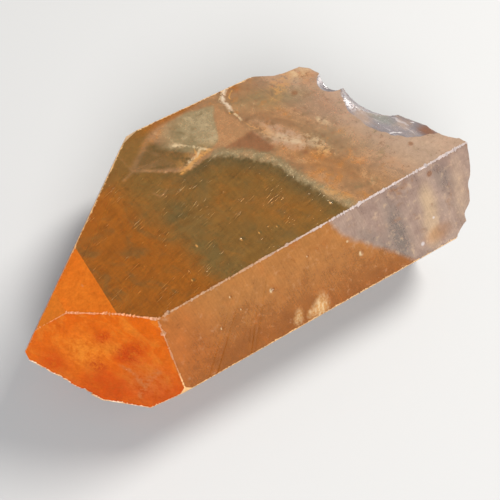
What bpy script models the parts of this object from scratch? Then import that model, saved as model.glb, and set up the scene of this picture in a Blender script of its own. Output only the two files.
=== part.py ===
"""A single point of tangerine quartz, lying on one of its prism faces.

The crystal's c axis is level and its tip points to -X. Every flat face is a cut
square to a direction that quartz's own angles give, at a stated distance from the
crystal's heart, a point on the c axis. The other end is broken off, with the curved
scoops and ledges of a quartz fracture. Lengths are millimetres until the last step,
which scales to metres and stands the crystal on z = 0, centred on x = y = 0.
"""

import math

import bmesh
import bpy
from mathutils import Matrix, Vector

NAME = "quartz_crystal"
MM = 0.001

# Angles that quartz fixes, in degrees. A tilt is measured from the tip's direction.
PRISM = 90.0
RHOMB = 51.8
STEEP = 79.4
TOP_TAPER = 1.7

# Azimuths about the c axis, in degrees: 0 is up, and +Y is at +90.
UP, BACK, BACK_UNDER, DOWN, FRONT_UNDER, FRONT = 0.0, 60.0, 120.0, 180.0, -120.0, -60.0

# The crystal's flat faces: azimuth, tilt, and distance from the heart in mm.
FACES = {
    "prism_top": (UP, PRISM - TOP_TAPER, 6.85),
    "prism_front": (FRONT, PRISM, 11.91),
    "prism_front_under": (FRONT_UNDER, PRISM, 12.48),
    "prism_bottom": (DOWN, PRISM, 6.5),
    "prism_back_under": (BACK_UNDER, PRISM, 12.7),
    "prism_back": (BACK, PRISM, 11.72),
    "steep_top": (UP, STEEP, 9.0),
    "tip_top": (UP, RHOMB, 15.76),
    "tip_front": (FRONT, RHOMB, 16.78),
    "tip_front_under": (FRONT_UNDER, RHOMB, 19.16),
    "tip_bottom": (DOWN, RHOMB, 13.95),
    "tip_back_under": (BACK_UNDER, RHOMB, 13.4),
    "tip_back": (BACK, RHOMB, 12.0),
}

# The blank that the faces are cut from, and where the far end broke off.
BLANK = 60.0
BREAK_CENTRE = (15.9, 1.1, 1.0)
BREAK_YAW = 23.0
BREAK_PITCH = 16.0
BREAK_WIDTH = 56.0
BREAK_HEIGHT = 42.0
BREAK_CELL = 0.6
BREAK_THICKNESS = 30.0

# Scoops of the break: centre across and up from its own centre, depth, and radius
# at the rim, in mm.
SCOOPS = (
    (-4.5, -2.4, 2.1, 7.6),
    (7.0, -3.0, 1.8, 6.5),
    (-15.4, 1.6, 0.6, 3.0),
    (10.0, 5.0, 1.2, 4.2),
    (2.6, 8.6, 0.8, 2.8),
)
RIPPLE_HEIGHT = 0.1
RIPPLE_LENGTH = 2.3
RIPPLE_SKEW = 0.35
LEDGE_DROP = 0.8
LEDGE_AT = -3.4
LEDGE_LEAN = 0.3
LEDGE_RAMP = 0.9

# Worn edges, blunted corners and chips, in mm.
EDGE_WEAR = 0.1
EDGE_ANGLE = 5.0
SLIVER = 0.01
BLUNT = {
    ("tip_front", "tip_bottom", "tip_back"): 0.42,
    ("prism_top", "prism_back", "tip_back"): 0.3,
    ("prism_front", "prism_front_under", "tip_front"): 0.18,
}

# Chips: two faces whose edge is nicked, the face that the place is counted from, how
# far along the edge it is, and the nick's half-length, a quarter of its width, and depth.
CHIPS = (
    ("prism_top", "prism_front", "tip_front", 1.0, 0.78, 0.4, 0.18),
    ("prism_top", "prism_front", "tip_front", 4.2, 0.54, 0.32, 0.13),
    ("prism_top", "prism_front", "tip_front", 9.3, 0.84, 0.36, 0.14),
    ("prism_top", "prism_front", "tip_front", 15.1, 0.6, 0.32, 0.13),
    ("prism_top", "prism_front", "tip_front", 21.7, 0.96, 0.4, 0.16),
    ("prism_top", "prism_front", "tip_front", 28.0, 0.72, 0.36, 0.14),
    ("tip_front", "prism_front", "prism_top", 1.6, 0.48, 0.44, 0.21),
    ("tip_front", "prism_front", "prism_top", 6.6, 0.42, 0.32, 0.14),
    ("tip_front", "steep_top", "prism_top", 1.1, 0.48, 0.4, 0.18),
    ("tip_front", "tip_bottom", "tip_back", 4.2, 0.66, 0.4, 0.19),
    ("tip_front", "tip_bottom", "tip_back", 6.7, 0.9, 0.48, 0.24),
    ("tip_front", "tip_bottom", "tip_back", 2.3, 0.42, 0.32, 0.13),
    ("prism_front", "prism_front_under", "tip_front", 11.5, 0.72, 0.4, 0.16),
    ("prism_front", "prism_front_under", "tip_front", 20.5, 0.6, 0.4, 0.18),
    ("prism_top", "prism_back", "tip_back", 6.4, 0.78, 0.4, 0.16),
    ("prism_top", "prism_back", "tip_back", 13.0, 0.6, 0.36, 0.16),
    ("prism_back", "prism_back_under", "tip_back", 9.0, 1.08, 0.56, 0.24),
    ("prism_back_under", "prism_bottom", "tip_back_under", 12.0, 0.96, 0.48, 0.2),
)

# Large shell-shaped chips: centre from the heart, half-axes, and turn about Z. One is
# in the top face's broken edge, one takes the break's low front corner, and one
# flakes away the back corner of the top face.
SHELL_CHIPS = {
    "shell_chip": ((19.3, -1.2, 9.5), (6.9, 9.5, 2.6), 23.0),
    "shell_chip_back": ((19.6, 0.9, 8.1), (3.6, 4.2, 2.5), 23.0),
    "notch_chip": ((16.4, 4.5, 7.8), (1.9, 1.6, 1.6), 23.0),
    "ridge_end_chip": ((22.3, -6.3, 8.2), (1.9, 3.0, 1.6), 23.0),
    "front_corner_chip": ((21.9, -14.6, -1.2), (2.9, 2.6, 2.2), 0.0),
    "back_corner_flake": ((15.3, 20.1, 14.1), (14.0, 14.0, 14.0), 0.0),
}

# Pits in the flat faces: the face, how far along and across it from the heart's foot,
# and the pit's radius and depth.
PITS = (
    ("prism_top", -1.4, -7.0, 0.25, 0.1),
    ("prism_top", -5.1, -5.4, 0.25, 0.1),
    ("prism_top", 7.6, -8.1, 0.28, 0.11),
    ("prism_top", 5.6, 6.4, 0.25, 0.1),
    ("prism_front", -1.3, -2.4, 0.28, 0.11),
    ("prism_front", 8.4, -3.5, 0.25, 0.1),
    ("prism_back_under", 2.0, 1.0, 0.45, 0.16),
    ("prism_back", 6.0, -1.5, 0.35, 0.14),
)

COLOUR = (0.86, 0.36, 0.07, 1.0)
ROUGHNESS = 0.12
IOR = 1.544
TRANSMISSION = 0.85


def face_normal(azimuth, tilt):
    """The outward direction of a face, from its azimuth and its tilt off the tip."""
    around, off_tip = math.radians(azimuth), math.radians(tilt)
    return Vector((-math.cos(off_tip), math.sin(off_tip) * math.sin(around),
                   math.sin(off_tip) * math.cos(around)))


def face_plane(name):
    azimuth, tilt, distance = FACES[name]
    return face_normal(azimuth, tilt), distance


def corner(*names):
    """The point where three faces meet."""
    planes = [face_plane(name) for name in names]
    rows = Matrix([normal for normal, _ in planes])
    return rows.inverted() @ Vector([distance for _, distance in planes])


def cut_flat(bm, normal, distance):
    """Cut the solid off beyond a plane and close the cut."""
    everything = bm.verts[:] + bm.edges[:] + bm.faces[:]
    cut = bmesh.ops.bisect_plane(bm, geom=everything, plane_co=normal * distance,
                                 plane_no=normal, clear_outer=True)
    rim = [item for item in cut["geom_cut"] if isinstance(item, bmesh.types.BMEdge)]
    if rim:
        bmesh.ops.contextual_create(bm, geom=rim)


def new_object(name, bm, collection):
    mesh = bpy.data.meshes.new(name)
    bmesh.ops.recalc_face_normals(bm, faces=bm.faces[:])
    bm.to_mesh(mesh)
    bm.free()
    obj = bpy.data.objects.new(name, mesh)
    collection.objects.link(obj)
    return obj


def new_cutter(name, bm, collection):
    cutter = new_object(name, bm, collection)
    cutter.hide_render = True
    cutter.display_type = "WIRE"
    return cutter


def crystal_body():
    """The cube that the crystal's faces, and its blunted corners, are cut from."""
    bm = bmesh.new()
    bmesh.ops.create_cube(bm, size=BLANK)
    for name in FACES:
        cut_flat(bm, *face_plane(name))
    for names, depth in BLUNT.items():
        point = corner(*names)
        normal = sum((face_plane(name)[0] for name in names), Vector()).normalized()
        cut_flat(bm, normal, point.dot(normal) - depth)
    return bm


def break_height(across, up):
    """How far the broken surface stands behind its mean plane, in mm."""
    height = 0.0
    for centre_across, centre_up, depth, radius in SCOOPS:
        reach = math.hypot(across - centre_across, up - centre_up)
        bowl = depth * ((reach / radius) ** 2 - 1.0)
        run = reach + RIPPLE_SKEW * across
        ripple = RIPPLE_HEIGHT * math.sin(math.tau * run / RIPPLE_LENGTH)
        height = min(height, bowl + ripple)
    below_ledge = (LEDGE_AT - up - LEDGE_LEAN * across) / LEDGE_RAMP
    return height - LEDGE_DROP * min(max(below_ledge, 0.0), 1.0)


def break_cutter(collection):
    """A slab whose near side is the fracture surface."""
    bm = bmesh.new()
    bmesh.ops.create_grid(bm, x_segments=round(BREAK_WIDTH / BREAK_CELL),
                          y_segments=round(BREAK_HEIGHT / BREAK_CELL), size=0.5)
    bmesh.ops.scale(bm, vec=(BREAK_WIDTH, BREAK_HEIGHT, 1.0), verts=bm.verts[:])
    slab = bmesh.ops.extrude_face_region(bm, geom=bm.faces[:], use_keep_orig=True)
    lifted = [item for item in slab["geom"] if isinstance(item, bmesh.types.BMVert)]
    far_side = set(lifted)
    for vert in bm.verts:
        if vert in far_side:
            vert.co.z = BREAK_THICKNESS
        else:
            vert.co.z = break_height(vert.co.x, vert.co.y)
    # Grid x runs across the break (+Y on the crystal), grid y up it, grid z outwards.
    stand = Matrix(((0.0, 0.0, 1.0), (1.0, 0.0, 0.0), (0.0, 1.0, 0.0)))
    turn = (Matrix.Rotation(math.radians(BREAK_YAW), 3, "Z")
            @ Matrix.Rotation(math.radians(BREAK_PITCH), 3, "Y"))
    place = Matrix.Translation(BREAK_CENTRE) @ (turn @ stand).to_4x4()
    bmesh.ops.transform(bm, matrix=place, verts=bm.verts[:])
    new_cutter("break_cutter", bm, collection)


def scoop_cutter(name, centre, axes, frame, collection, subdivisions=3):
    """An ellipsoid that takes a shell-shaped chip; frame holds its three directions."""
    bm = bmesh.new()
    bmesh.ops.create_icosphere(bm, subdivisions=subdivisions, radius=1.0)
    shape = Matrix.Translation(centre) @ frame.to_4x4() @ Matrix.Diagonal((*axes, 1.0))
    bmesh.ops.transform(bm, matrix=shape, verts=bm.verts[:])
    new_cutter(name, bm, collection)


def edge_chip(index, first, second, start_face, along, length, width, depth, collection):
    """A nick in the edge between two faces, at a distance along it from a third face."""
    start = corner(first, second, start_face)
    normal_a, normal_b = face_plane(first)[0], face_plane(second)[0]
    run = normal_a.cross(normal_b).normalized()
    if run.dot(face_plane(start_face)[0]) > 0.0:
        run = -run
    outward = (normal_a + normal_b).normalized()
    side = outward.cross(run).normalized()
    frame = Matrix((run, side, outward)).transposed()
    centre = start + run * along + outward * (width - depth)
    scoop_cutter(f"chip_{index:02d}", centre, (length, 2.0 * width, width), frame,
                 collection, subdivisions=2)


def face_pit(index, face, along, across, radius, depth, collection):
    """A shallow pit in a flat face, placed from the foot of the heart on that face."""
    normal, distance = face_plane(face)
    side = normal.cross(Vector((1.0, 0.0, 0.0))).normalized()
    run = side.cross(normal).normalized()
    frame = Matrix((run, side, normal)).transposed()
    centre = normal * (distance + radius - depth) + run * along + side * across
    scoop_cutter(f"pit_{index:02d}", centre, (1.4 * radius, radius, radius), frame,
                 collection, subdivisions=2)


def add_boolean(obj, cutters):
    cut = obj.modifiers.new("broken_end_and_chips", "BOOLEAN")
    cut.operation = "DIFFERENCE"
    cut.operand_type = "COLLECTION"
    cut.collection = cutters
    cut.solver = "EXACT"


def settle(crystal):
    """Make the cuts final, in metres, with the crystal on z = 0 above the origin."""
    depsgraph = bpy.context.evaluated_depsgraph_get()
    finished = bpy.data.meshes.new_from_object(crystal.evaluated_get(depsgraph))
    crystal.modifiers.clear()
    crystal.data = finished
    bm = bmesh.new()
    bm.from_mesh(finished)
    bmesh.ops.remove_doubles(bm, verts=bm.verts[:], dist=SLIVER)
    bmesh.ops.dissolve_degenerate(bm, edges=bm.edges[:], dist=SLIVER)
    low = Vector([min(vert.co[axis] for vert in bm.verts) for axis in range(3)])
    high = Vector([max(vert.co[axis] for vert in bm.verts) for axis in range(3)])
    foot = Vector(((low.x + high.x) / 2.0, (low.y + high.y) / 2.0, low.z))
    bmesh.ops.transform(bm, matrix=Matrix.Scale(MM, 4) @ Matrix.Translation(-foot),
                        verts=bm.verts[:])
    bm.to_mesh(finished)
    bm.free()


def crystal_material():
    material = bpy.data.materials.new("tangerine_quartz")
    material.use_nodes = True
    shader = material.node_tree.nodes["Principled BSDF"]
    shader.inputs["Base Color"].default_value = COLOUR
    shader.inputs["Roughness"].default_value = ROUGHNESS
    shader.inputs["Metallic"].default_value = 0.0
    shader.inputs["IOR"].default_value = IOR
    shader.inputs["Transmission Weight"].default_value = TRANSMISSION
    return material


def main():
    for obj in list(bpy.data.objects):
        bpy.data.objects.remove(obj)
    parts = bpy.data.collections.new(NAME)
    cutters = bpy.data.collections.new("cutters")
    bpy.context.scene.collection.children.link(parts)
    bpy.context.scene.collection.children.link(cutters)

    crystal = new_object(NAME, crystal_body(), parts)
    crystal.data.materials.append(crystal_material())

    wear = crystal.modifiers.new("edge_wear", "BEVEL")
    wear.width = EDGE_WEAR
    wear.segments = 1
    wear.limit_method = "ANGLE"
    wear.angle_limit = math.radians(EDGE_ANGLE)

    break_cutter(cutters)
    for name, (centre, axes, turn) in SHELL_CHIPS.items():
        frame = Matrix.Rotation(math.radians(turn), 3, "Z")
        scoop_cutter(name, centre, axes, frame, cutters, subdivisions=4)
    for index, chip in enumerate(CHIPS):
        edge_chip(index, *chip, cutters)
    for index, pit in enumerate(PITS):
        face_pit(index, *pit, cutters)
    add_boolean(crystal, cutters)
    settle(crystal)


main()
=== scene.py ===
"""The looks of the tangerine quartz crystal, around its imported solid.

One closed crystal mesh stands for the CAD node. It has the same faces, break, chips
and pits, with finer wear on its edges and a finer fracture. Veils, cracks and
specks are painted on its faces. Shapes are worked out in millimetres from the
crystal's heart, a point on its c axis, and then put in the row frame in metres.
"""

import math
import random

import bmesh
import bpy
from mathutils import Matrix, Vector, noise


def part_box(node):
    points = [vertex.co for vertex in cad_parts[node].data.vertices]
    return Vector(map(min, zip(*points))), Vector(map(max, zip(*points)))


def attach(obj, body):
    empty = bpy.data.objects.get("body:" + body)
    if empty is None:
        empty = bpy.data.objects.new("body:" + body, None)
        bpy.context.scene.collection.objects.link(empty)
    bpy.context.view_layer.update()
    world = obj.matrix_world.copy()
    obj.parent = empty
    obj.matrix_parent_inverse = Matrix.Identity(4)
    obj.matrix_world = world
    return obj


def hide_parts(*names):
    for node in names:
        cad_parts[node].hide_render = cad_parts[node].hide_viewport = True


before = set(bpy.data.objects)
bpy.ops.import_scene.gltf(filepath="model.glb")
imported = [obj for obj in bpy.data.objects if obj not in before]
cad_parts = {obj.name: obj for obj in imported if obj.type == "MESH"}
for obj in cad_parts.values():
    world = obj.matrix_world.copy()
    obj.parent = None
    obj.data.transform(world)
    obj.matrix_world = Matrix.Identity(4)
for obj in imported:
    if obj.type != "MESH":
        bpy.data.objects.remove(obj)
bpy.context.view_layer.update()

BODY = "root"
NODE = "quartz_crystal"
MM = 0.001

# The heart's place in the row frame, in mm.
HEART = Vector((0.113, -0.009, 6.5))

# ---- the crystal's faces

PRISM, RHOMB, STEEP, TOP_TAPER = 90.0, 51.8, 79.4, 1.7
UP, BACK, BACK_UNDER, DOWN, FRONT_UNDER, FRONT = 0.0, 60.0, 120.0, 180.0, -120.0, -60.0

# Material slots of the crystal mesh.
TOP_SLOT, FRONT_SLOT, SIDE_SLOT, TIP_SLOT, WORN_SLOT, BROKEN_SLOT = range(6)

# Azimuth about the c axis, tilt from the tip's direction, distance in mm, and slot.
FACES = {
    "prism_top": (UP, PRISM - TOP_TAPER, 6.85, TOP_SLOT),
    "prism_front": (FRONT, PRISM, 11.91, FRONT_SLOT),
    "prism_front_under": (FRONT_UNDER, PRISM, 12.48, SIDE_SLOT),
    "prism_bottom": (DOWN, PRISM, 6.5, SIDE_SLOT),
    "prism_back_under": (BACK_UNDER, PRISM, 12.7, SIDE_SLOT),
    "prism_back": (BACK, PRISM, 11.72, SIDE_SLOT),
    "steep_top": (UP, STEEP, 9.0, TIP_SLOT),
    "tip_top": (UP, RHOMB, 15.76, TIP_SLOT),
    "tip_front": (FRONT, RHOMB, 16.78, TIP_SLOT),
    "tip_front_under": (FRONT_UNDER, RHOMB, 19.16, TIP_SLOT),
    "tip_bottom": (DOWN, RHOMB, 13.95, TIP_SLOT),
    "tip_back_under": (BACK_UNDER, RHOMB, 13.4, TIP_SLOT),
    "tip_back": (BACK, RHOMB, 12.0, TIP_SLOT),
}
BLUNT = {
    ("tip_front", "tip_bottom", "tip_back"): 0.42,
    ("prism_top", "prism_back", "tip_back"): 0.3,
    ("prism_front", "prism_front_under", "tip_front"): 0.18,
}
BLANK = 60.0
# How nearly a face must match its row here.
SAME_WAY, SAME_PLANE = 0.9999, 0.01
# Points nearer than this are joined, in mm.
WELD = 0.004

# The break: where it stands, how it is turned, and its scoops (centre across and up,
# depth, radius at the rim), ripples and ledge.
BREAK_CENTRE = (15.9, 1.1, 1.0)
BREAK_YAW, BREAK_PITCH = 23.0, 16.0
BREAK_WIDTH, BREAK_HEIGHT, BREAK_THICKNESS = 46.0, 28.0, 30.0
BREAK_CELL = 0.28
SCOOPS = (
    (-4.5, -2.4, 2.1, 7.6),
    (7.0, -3.0, 1.8, 6.5),
    (-15.4, 1.6, 0.6, 3.0),
    (10.0, 5.0, 1.2, 4.2),
    (2.6, 8.6, 0.8, 2.8),
)
RIPPLE_HEIGHT, RIPPLE_LENGTH, RIPPLE_SKEW = 0.1, 2.3, 0.35
LEDGE_DROP, LEDGE_AT, LEDGE_LEAN, LEDGE_RAMP = 0.8, -3.4, 0.3, 0.9
HACKLE_HEIGHT, HACKLE_SCALE = 0.11, 0.9

# How uneven a small chip and a large one are, the scale of their lumps and grain, and
# how a small one's cutter is stretched and meshed.
CHIP_RAGGED, SHELL_RAGGED = 0.5, 0.02
LUMP_SCALE, GRAIN_SCALE = 1.7, 9.0
CHIP_STRETCH, CHIP_DETAIL = 1.4, 3

# The rings of a large chip: height, length, how far they waver and on what scale, and
# the place that they spread from.
RIB_HEIGHT, RIB_LENGTH = 0.006, 0.13
RIB_WAVER, RIB_WAVER_SCALE = 0.06, 3.0
STRIKE = Vector((-0.5, 0.85, -0.3))

# Large shell-shaped chips: centre, half-axes, turn about Z, and how fine the mesh is.
SHELL_CHIPS = (
    ((19.3, -1.2, 9.5), (6.9, 9.5, 2.6), 23.0, 6),
    ((19.6, 0.9, 8.1), (3.6, 4.2, 2.5), 23.0, 5),
    ((16.4, 4.5, 7.8), (1.9, 1.6, 1.6), 23.0, 5),
    ((22.3, -6.3, 8.2), (1.9, 3.0, 1.6), 23.0, 5),
    ((21.9, -14.6, -1.2), (2.9, 2.6, 2.2), 0.0, 5),
    ((15.3, 20.1, 14.1), (14.0, 14.0, 14.0), 0.0, 6),
)

# Edge chips, by the two faces of the edge and the face that they are counted from: how
# far along, half-length, half-width and depth.
EDGE_CHIPS = {
    ("prism_top", "prism_front", "tip_front"): (
        (0.9, 0.5, 0.24, 0.12), (4.6, 0.3, 0.16, 0.08), (9.3, 0.6, 0.2, 0.09), (13.4, 0.42, 0.22, 0.1),
        (17.2, 0.34, 0.2, 0.09), (21.7, 0.72, 0.26, 0.12), (25.6, 0.4, 0.2, 0.1), (29.2, 0.6, 0.28, 0.12)),
    ("tip_front", "prism_front", "prism_top"): ((1.6, 0.36, 0.3, 0.15),),
    ("tip_front", "steep_top", "prism_top"): ((1.1, 0.3, 0.24, 0.12),),
    ("tip_front", "tip_bottom", "tip_back"): (
        (4.2, 0.66, 0.4, 0.19), (6.7, 0.9, 0.48, 0.24), (2.3, 0.42, 0.32, 0.13)),
    ("prism_front", "prism_front_under", "tip_front"): ((11.5, 0.5, 0.24, 0.1), (20.5, 0.5, 0.3, 0.12)),
    ("prism_top", "prism_back", "tip_back"): ((6.4, 0.5, 0.26, 0.1), (13.0, 0.6, 0.3, 0.13)),
    ("prism_back", "prism_back_under", "tip_back"): ((9.0, 1.08, 0.56, 0.24),),
    ("prism_back_under", "prism_bottom", "tip_back_under"): ((12.0, 0.96, 0.48, 0.2),),
}
CHIPS = [faces + chip for faces, chips in EDGE_CHIPS.items() for chip in chips]

# Edge wear: how its width varies from nick to nick and over its length, its least share,
# its growth towards the break for each mm, a nick's run, how far a nick is moved, how far
# the cutter reaches out, and how far the wear usually reaches onto a face.
WEAR_VARIES, WEAR_SWELL, WEAR_SWELL_SCALE, WEAR_LEAST = 0.35, 0.7, 0.6, 0.25
WEAR_GROWS = 0.012
WEAR_STEP, WEAR_JOG, WEAR_REACH = 0.15, 0.3, 0.35
WEAR_SEED = 11
WEAR_WIDTH = 0.1
WEAR_WIDTHS = {
    ("prism_top", "prism_front"): (0.08, 0.11),
    ("prism_top", "tip_front"): (0.11, 0.12),
    ("steep_top", "tip_front"): (0.1, 0.11),
    ("tip_top", "tip_front"): (0.05, 0.05),
    ("prism_front", "tip_front"): (0.06, 0.06),
    ("prism_top", "steep_top"): (0.0, 0.0),
    ("steep_top", "tip_top"): (0.0, 0.0),
    ("tip_front", "tip_bottom"): (0.2, 0.08),
    ("tip_front", "tip_front_under"): (0.12, 0.08),
}

# Pits in the flat faces, and bruises painted as a highlight and a shade: along, across, radius, and a
# pit's depth.
PITS = {
    "prism_top": ((-1.4, -7.0, 0.19, 0.09), (7.6, -8.1, 0.2, 0.1)),
    "prism_front": ((-1.3, -2.4, 0.2, 0.1),),
    "prism_back_under": ((2.0, 1.0, 0.45, 0.16),),
    "prism_back": ((6.0, -1.5, 0.35, 0.14),),
}
BRUISES = {
    "prism_top": ((-5.1, -5.4, 0.2), (5.6, 6.4, 0.16), (-7.3, -8.3, 0.14), (0.3, -7.3, 0.15),
                  (2.0, -7.6, 0.12)),
    "prism_front": ((8.4, -3.5, 0.2), (-6.9, -3.4, 0.13), (-5.2, -0.9, 0.12), (-4.6, -2.6, 0.1),
                    (3.0, -1.0, 0.1)),
}


def face_normal(azimuth, tilt):
    around, off_tip = math.radians(azimuth), math.radians(tilt)
    return Vector((-math.cos(off_tip), math.sin(off_tip) * math.sin(around),
                   math.sin(off_tip) * math.cos(around)))


def face_plane(name):
    azimuth, tilt, distance, _ = FACES[name]
    return face_normal(azimuth, tilt), distance


def face_axes(name):
    """Two directions in a face, along the crystal and across it."""
    normal = face_plane(name)[0]
    side = normal.cross(Vector((1.0, 0.0, 0.0))).normalized()
    return side.cross(normal).normalized(), side


def corner(*names):
    planes = [face_plane(name) for name in names]
    rows = Matrix([normal for normal, _ in planes])
    return rows.inverted() @ Vector([distance for _, distance in planes])


# ---- crystal mesh

def cut_flat(bm, normal, distance, slot):
    """Cut the solid off beyond a plane and close the cut with a face in that slot."""
    everything = bm.verts[:] + bm.edges[:] + bm.faces[:]
    cut = bmesh.ops.bisect_plane(
        bm, geom=everything, plane_co=normal * distance, plane_no=normal, clear_outer=True)
    rim = [item for item in cut["geom_cut"] if isinstance(item, bmesh.types.BMEdge)]
    if rim:
        for face in bmesh.ops.contextual_create(bm, geom=rim)["faces"]:
            face.material_index = slot


def faceted_body():
    bm = bmesh.new()
    bmesh.ops.create_cube(bm, size=BLANK)
    for azimuth, tilt, distance, slot in FACES.values():
        cut_flat(bm, face_normal(azimuth, tilt), distance, slot)
    for names, depth in BLUNT.items():
        point = corner(*names)
        normal = sum((face_plane(name)[0] for name in names), Vector()).normalized()
        cut_flat(bm, normal, point.dot(normal) - depth, WORN_SLOT)
    bmesh.ops.recalc_face_normals(bm, faces=bm.faces[:])
    return bm


def mesh_object(name, bm, slots, smooth=False):
    mesh = bpy.data.meshes.new(name)
    bmesh.ops.recalc_face_normals(bm, faces=bm.faces[:])
    for face in bm.faces:
        face.smooth = smooth
    bm.to_mesh(mesh)
    bm.free()
    for material in slots:
        mesh.materials.append(material)
    obj = bpy.data.objects.new(name, mesh)
    bpy.context.scene.collection.objects.link(obj)
    return obj


def break_height(across, up):
    """How far the broken surface stands behind its mean plane, in mm."""
    height = 0.0
    for centre_across, centre_up, depth, radius in SCOOPS:
        reach = math.hypot(across - centre_across, up - centre_up)
        bowl = depth * ((reach / radius) ** 2 - 1.0)
        run = reach + RIPPLE_SKEW * across
        ripple = RIPPLE_HEIGHT * math.sin(math.tau * run / RIPPLE_LENGTH)
        height = min(height, bowl + ripple)
    below_ledge = (LEDGE_AT - up - LEDGE_LEAN * across) / LEDGE_RAMP
    height -= LEDGE_DROP * min(max(below_ledge, 0.0), 1.0)
    place = Vector((across, up, 0.0)) * HACKLE_SCALE
    return height - HACKLE_HEIGHT * abs(noise.fractal(place, 0.9, 2.1, 4))


def break_cutter(broken):
    """A slab whose near side is the fracture surface."""
    bm = bmesh.new()
    bmesh.ops.create_grid(bm, x_segments=round(BREAK_WIDTH / BREAK_CELL),
                          y_segments=round(BREAK_HEIGHT / BREAK_CELL), size=0.5)
    bmesh.ops.scale(bm, vec=(BREAK_WIDTH, BREAK_HEIGHT, 1.0), verts=bm.verts[:])
    for vert in bm.verts:
        vert.co.z = break_height(vert.co.x, vert.co.y)
    rim = [edge for edge in bm.edges if edge.is_boundary]
    walls = bmesh.ops.extrude_edge_only(bm, edges=rim)["geom"]
    far_rim = [item for item in walls if isinstance(item, bmesh.types.BMVert)]
    for vert in far_rim:
        vert.co.z = BREAK_THICKNESS
    far_edges = [item for item in walls if isinstance(item, bmesh.types.BMEdge) and item.is_boundary]
    bmesh.ops.contextual_create(bm, geom=far_edges)
    stand = Matrix(((0.0, 0.0, 1.0), (1.0, 0.0, 0.0), (0.0, 1.0, 0.0)))
    turn = (Matrix.Rotation(math.radians(BREAK_YAW), 3, "Z")
            @ Matrix.Rotation(math.radians(BREAK_PITCH), 3, "Y"))
    place = Matrix.Translation(BREAK_CENTRE) @ (turn @ stand).to_4x4()
    bmesh.ops.transform(bm, matrix=place, verts=bm.verts[:])
    return mesh_object("break_cutter", bm, [broken], smooth=True)


def scoop_cutter(name, centre, axes, turned, material, subdivisions, ragged=0.0, ribs=0.0):
    """An ellipsoid that scoops a hollow, uneven by ragged and ringed by ribs."""
    bm = bmesh.new()
    bmesh.ops.create_icosphere(bm, subdivisions=subdivisions, radius=1.0)
    for vert in bm.verts:
        rough = ragged * noise.fractal(vert.co * LUMP_SCALE + Vector(centre), 0.7, 2.0, 3)
        rough += 2.0 * ribs * noise.fractal(vert.co * GRAIN_SCALE + Vector(centre), 0.8, 2.0, 3)
        run = (vert.co - STRIKE).length + RIB_WAVER * noise.noise(vert.co * RIB_WAVER_SCALE)
        vert.co *= 1.0 + rough + ribs * math.sin(math.tau * run / RIB_LENGTH)
    shape = Matrix.Translation(centre) @ turned.to_4x4() @ Matrix.Diagonal((*axes, 1.0))
    bmesh.ops.transform(bm, matrix=shape, verts=bm.verts[:])
    return mesh_object(name, bm, [material], smooth=True)


def edge_chip(index, chip, material):
    first, second, start_face, along, length, width, depth = chip
    start = corner(first, second, start_face)
    normal_a, normal_b = face_plane(first)[0], face_plane(second)[0]
    run = normal_a.cross(normal_b).normalized()
    if run.dot(face_plane(start_face)[0]) > 0.0:
        run = -run
    outward = (normal_a + normal_b).normalized()
    side = outward.cross(run).normalized()
    turned = Matrix((run, side, outward)).transposed()
    centre = start + run * along + outward * (width - depth)
    return scoop_cutter(
        f"chip_{index:02d}", centre, (length, CHIP_STRETCH * width, width), turned, material,
        CHIP_DETAIL, CHIP_RAGGED)


def face_pit(index, face, pit, material):
    along, across, radius, depth = pit
    normal, distance = face_plane(face)
    run, side = face_axes(face)
    turned = Matrix((run, side, normal)).transposed()
    centre = normal * (distance + radius - depth) + run * along + side * across
    return scoop_cutter(
        f"pit_{index:02d}", centre, (CHIP_STRETCH * radius, radius, radius), turned, material,
        CHIP_DETAIL, CHIP_RAGGED)


def face_name(face):
    """The name of a face of the uncut body, or None for the blank's own sides."""
    for name in FACES:
        normal, distance = face_plane(name)
        off_plane = abs(face.verts[0].co.dot(normal) - distance)
        if face.normal.dot(normal) > SAME_WAY and off_plane < SAME_PLANE:
            return name
    return None


def wear_widths(edge):
    """How far the wear of an edge reaches onto each of its faces, in their order."""
    names = [face_name(face) for face in edge.link_faces]
    if None in names:
        return 0.0, 0.0
    for pair, widths in WEAR_WIDTHS.items():
        if set(names) == set(pair):
            return widths if names[0] == pair[0] else widths[::-1]
    return WEAR_WIDTH, WEAR_WIDTH


def wear_strip(index, edge, widths, worn, draw):
    """A cutter that planes an edge away in short, uneven nicks."""
    start, end = (vert.co.copy() for vert in edge.verts)
    normals = [face.normal.copy() for face in edge.link_faces]
    run = (end - start).normalized()
    outward = (normals[0] + normals[1]).normalized()
    inward = [normal.cross(run) for normal in normals]
    inward = [-way if way.dot(outward) > 0.0 else way for way in inward]
    spare = max(widths)
    length = (end - start).length + 2.0 * spare
    steps = max(2, round(length / WEAR_STEP))
    bm = bmesh.new()
    rings = []
    for step in range(steps + 1):
        jog = draw.uniform(-WEAR_JOG, WEAR_JOG) if 0 < step < steps else 0.0
        place = start + run * (length * (step + jog) / steps - spare)
        drift = place * WEAR_SWELL_SCALE + Vector((7.0, 3.0, index))
        swell = 1.0 + WEAR_SWELL * noise.fractal(drift, 0.8, 2.0, 3)
        swell = max(swell + WEAR_GROWS * place.x, WEAR_LEAST)
        on_a, on_b = (place + way * width * swell * (1.0 + draw.uniform(-WEAR_VARIES, WEAR_VARIES))
                      for way, width in zip(inward, widths))
        chamfer = (on_a - on_b).normalized()
        rings.append([bm.verts.new(corner) for corner in (
            on_a + chamfer * WEAR_REACH, on_b - chamfer * WEAR_REACH,
            place + outward * 2.0 * WEAR_REACH)])
    for ring, following in zip(rings, rings[1:]):
        for side in range(3):
            other = (side + 1) % 3
            bm.faces.new((ring[side], ring[other], following[other], following[side]))
    bm.faces.new(rings[0][::-1])
    bm.faces.new(rings[-1])
    return mesh_object(f"wear_{index:02d}", bm, [worn])


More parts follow.
